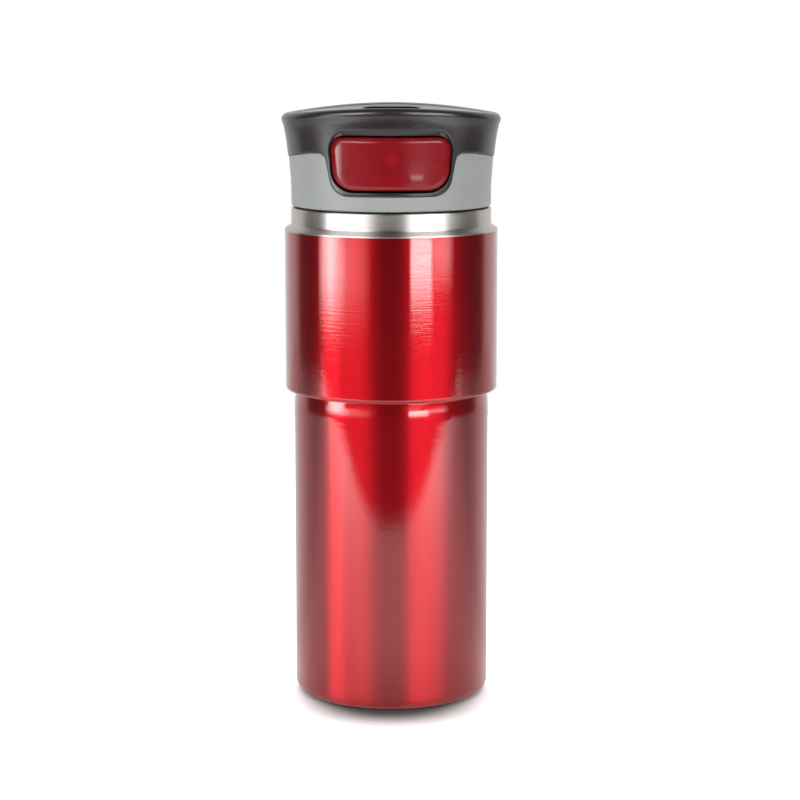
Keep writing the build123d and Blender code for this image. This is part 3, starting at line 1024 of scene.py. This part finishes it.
# Each card's radiance against azimuth, in degrees from the front and positive to the right. Then its
# bottom and top, and the height over which its light comes in.
CARDS = {
    "strip_left": (
        [(-84, 0), (-78, 6), (-67, 16), (-57, 9), (-47, 2.8), (-29, 1.5), (-20, 0)],
        0.025, 0.100, 0.037,
    ),
    "upper_left": ([(-80, 0), (-74, 15), (-60, 15), (-54, 0)], 0.100, 0.200, 0.002),
    "strip_right": ([(19, 0), (22, 18), (42, 18), (46, 0)], 0.034, 0.100, 0.044),
    "panel_right": ([(42, 0), (46, 5), (62, 4.5), (70, 0)], 0.058, 0.100, 0.018),
    "high_left": (
        [(-80, 0), (-74, 2.5), (-60, 5), (-38, 10.5), (-28, 7), (-18, 1.6), (-10, 0)],
        0.30, 0.75, 0.08,
    ),
    "high_right": (
        [(8, 0), (15, 1.2), (23, 7.5), (51, 9.5), (62, 8.5), (69, 2.2), (77, 0)],
        0.30, 0.75, 0.08,
    ),
    "glint": ([(20, 0), (22, 14), (33, 14), (36, 0)], 0.1325, 0.1350, 0.0005),
    "glow": ([(14, 0), (20, 0.9), (36, 0.8), (44, 0)], 0.1350, 0.144, 0.001),
}
HIGH_CARDS = ("high_left", "high_right")    # their light is kept off the top panel

FLOOR_BACK = 0.6
# The floor's right half, from the front edge back. Where it ends shows in the lacquer.
FLOOR_RIGHT = [(0.40, -0.340), (0.56, -0.284), (0.80, -0.18), (0.80, FLOOR_BACK)]
PAPER = 0.85
PAPER_SHADED = 0.05           # painted contact shadow under the mug, as the camera sees it
PAPER_PAINTED_SHADE = 0.36           # painted shade behind the mug, as every other ray sees it
PAINTED_SHADE_Y = (-0.12, 0.06)         # the painted shade comes in between these
SHADE_SHIFT = 0.018           # the painted shadow's centre is this far in front of the mug's axis
SHADE_RADII = (0.0165, 0.0385)    # the painted shadow is darkest inside the first and ends at the second
SPILL = 2.6                   # a painted glow on the floor's front corners, in place of the cards' spilled light, to every other ray
SPILL_X = (0.08, 0.38)        # it comes in between these, to each side
SPILL_Y = (-0.30, -0.10)      # and goes out between these, towards the back

WORLD_DARK = 0.05
WORLD_WHITE = 1.0
WORLD_RAMP = (0.40, 0.58)     # from the dark front to the white back, along Generated Y

OVERHEAD_SIZE = (1.4, 0.8)
OVERHEAD_AT = (0, 0.45, 0.95)
OVERHEAD_RADIANCE = 5.0

# The photograph's view, as the mug's proportions in it give it.
CAMERA_AT = (0.0031, -0.8281, 0.2376)
CAMERA_DOWN = 9.1             # degrees below the horizontal
CAMERA_LENS = 105.71          # millimetres, on a 36 mm sensor


def studio_mesh(name, verts, faces, mat):
    """A plain mesh with one material, in metres."""
    mesh = bpy.data.meshes.new(name)
    mesh.from_pydata(verts, [], faces)
    obj = bpy.data.objects.new(name, mesh)
    bpy.context.scene.collection.objects.link(obj)
    paint(obj, mat)
    return obj


def card_material(name, glow, bottom, fade):
    """A glow that changes with azimuth and comes in softly over a card's lowest part."""
    first, last = glow[0][0], glow[-1][0]
    peak = max(radiance for _, radiance in glow)
    mat = bpy.data.materials.new(name)
    mat.use_nodes = True
    nodes, links = mat.node_tree.nodes, mat.node_tree.links
    nodes.clear()
    x, y, z = coordinates(nodes, links)
    turn = maths(nodes, links, "ARCTAN2", x, maths(nodes, links, "MULTIPLY", y, -1.0))
    across = ranged(nodes, links, turn, 0, 1, math.radians(first), math.radians(last))
    stops = [((azimuth - first) / (last - first), (level / peak,) * 3) for azimuth, level in glow]
    upward = ranged(nodes, links, z, 0, peak, bottom, bottom + fade)
    strength = maths(nodes, links, "MULTIPLY", colour_ramp(nodes, links, across, stops), upward)
    emission = nodes.new("ShaderNodeEmission")
    links.new(strength, emission.inputs["Strength"])
    out = nodes.new("ShaderNodeOutputMaterial")
    links.new(emission.outputs["Emission"], out.inputs["Surface"])
    return mat


def studio_card(name, glow, bottom, top, fade):
    """A curved, glowing panel that stands round the mug. The camera doesn't see it."""
    first, last = glow[0][0], glow[-1][0]
    verts = []
    for azimuth in range(first, last + 1):
        turn = math.radians(azimuth)
        x, y = CARD_REACH * math.sin(turn), -CARD_REACH * math.cos(turn)
        verts += [(x, y, bottom), (x, y, top)]
    faces = [(2 * i, 2 * i + 1, 2 * i + 3, 2 * i + 2) for i in range(last - first)]
    card = studio_mesh(name, verts, faces, card_material(name, glow, bottom, fade))
    card.visible_camera = False
    card.visible_shadow = False
    return card


def spare(card, obj):
    """Keeps a card's light off one object."""
    receivers = bpy.data.collections.new(card.name + "_spares")
    receivers.objects.link(obj)
    receivers.collection_objects[0].light_linking.link_state = "EXCLUDE"
    card.light_linking.receiver_collection = receivers


def make_overhead():
    """A broad light behind and above the mug that faces down. Reflections don't show it."""
    width, depth = OVERHEAD_SIZE
    data = bpy.data.lights.new("overhead", "AREA")
    data.shape = "RECTANGLE"
    data.size = width
    data.size_y = depth
    data.energy = 4 * width * depth * OVERHEAD_RADIANCE    # the watts that give that radiance
    light = bpy.data.objects.new("overhead", data)
    light.location = OVERHEAD_AT
    light.visible_camera = False
    light.visible_glossy = False
    bpy.context.scene.collection.objects.link(light)


def floor_material():
    """White paper. The camera sees a painted contact shadow on it, a soft dark patch where the mug
    stands.
    Other rays see painted shade that dims it behind the mug, and a painted glow at its front corners
    in place of the cards' spilled light."""
    mat, nodes, links, shader = new_material("floor_paper", (PAPER, PAPER, PAPER), 0.9)
    x, y, _ = coordinates(nodes, links)
    # Painted contact shadow: to the camera the paper darkens to a soft patch where the mug stands.
    reach = flat_length(nodes, links, x, maths(nodes, links, "ADD", y, SHADE_SHIFT))
    shade = ranged(nodes, links, reach, 0, 1, *SHADE_RADII)
    painted_shadow = colour_ramp(nodes, links, shade, [(0, (PAPER_SHADED,) * 3), (1, (PAPER,) * 3)], "EASE")
    path = nodes.new("ShaderNodeLightPath")
    mix = nodes.new("ShaderNodeMix")
    mix.data_type = "RGBA"
    links.new(path.outputs["Is Camera Ray"], mix.inputs["Factor"])
    # Painted shade: to every other ray the paper dims behind the mug.
    links.new(ranged(nodes, links, y, PAPER, PAPER_PAINTED_SHADE, *PAINTED_SHADE_Y), mix.inputs["A"])
    links.new(painted_shadow, mix.inputs["B"])
    links.new(mix.outputs["Result"], shader.inputs["Base Color"])
    # Painted glow: to every other ray the paper's front corners emit light.
    sideways = ranged(nodes, links, maths(nodes, links, "ABSOLUTE", x), 0, SPILL, *SPILL_X)
    spill = maths(nodes, links, "MULTIPLY", sideways, ranged(nodes, links, y, 1, 0, *SPILL_Y))
    unseen = ranged(nodes, links, path.outputs["Is Camera Ray"], 1, 0, 0, 1)
    links.new(maths(nodes, links, "MULTIPLY", spill, unseen), shader.inputs["Emission Strength"])
    shader.inputs["Emission Color"].default_value = (1, 1, 1, 1)
    return mat


def make_floor():
    """A sheet of paper with a straight front edge and receding front corners."""
    outline = FLOOR_RIGHT + [(-x, y) for x, y in FLOOR_RIGHT[::-1]]
    verts = [(x, y, 0) for x, y in outline]
    floor = studio_mesh("floor", verts, [range(len(outline))], floor_material())


def make_world():
    """White behind the mug and dark in front of it. The camera sees it white everywhere."""
    world = bpy.data.worlds.new("studio")
    bpy.context.scene.world = world
    world.use_nodes = True
    nodes, links = world.node_tree.nodes, world.node_tree.links
    nodes.clear()
    _, y, _ = coordinates(nodes, links, "Generated")
    surround = nodes.new("ShaderNodeBackground")
    level = ranged(nodes, links, y, WORLD_DARK, WORLD_WHITE, *WORLD_RAMP)
    links.new(level, surround.inputs["Strength"])
    seen = nodes.new("ShaderNodeBackground")
    seen.inputs["Strength"].default_value = WORLD_WHITE
    seen.inputs["Color"].default_value = (1, 1, 1, 1)
    path = nodes.new("ShaderNodeLightPath")
    mix = nodes.new("ShaderNodeMixShader")
    out = nodes.new("ShaderNodeOutputWorld")
    links.new(path.outputs["Is Camera Ray"], mix.inputs["Fac"])
    links.new(surround.outputs["Background"], mix.inputs[1])
    links.new(seen.outputs["Background"], mix.inputs[2])
    links.new(mix.outputs["Shader"], out.inputs["Surface"])


def make_camera():
    """The photograph's view."""
    data = bpy.data.cameras.new("camera")
    data.sensor_width = 36.0
    data.lens = CAMERA_LENS
    camera = bpy.data.objects.new("camera", data)
    bpy.context.scene.collection.objects.link(camera)
    camera.location = CAMERA_AT
    camera.rotation_euler = (math.radians(90 - CAMERA_DOWN), 0, 0)
    bpy.context.scene.camera = camera


make_floor()
make_world()
make_camera()
for name, (glow, bottom, top, fade) in CARDS.items():
    card = studio_card(name, glow, bottom, top, fade)
    if name in HIGH_CARDS:
        spare(card, deck)
make_overhead()

scene = bpy.context.scene
scene.view_settings.view_transform = "Standard"
scene.view_settings.look = "None"
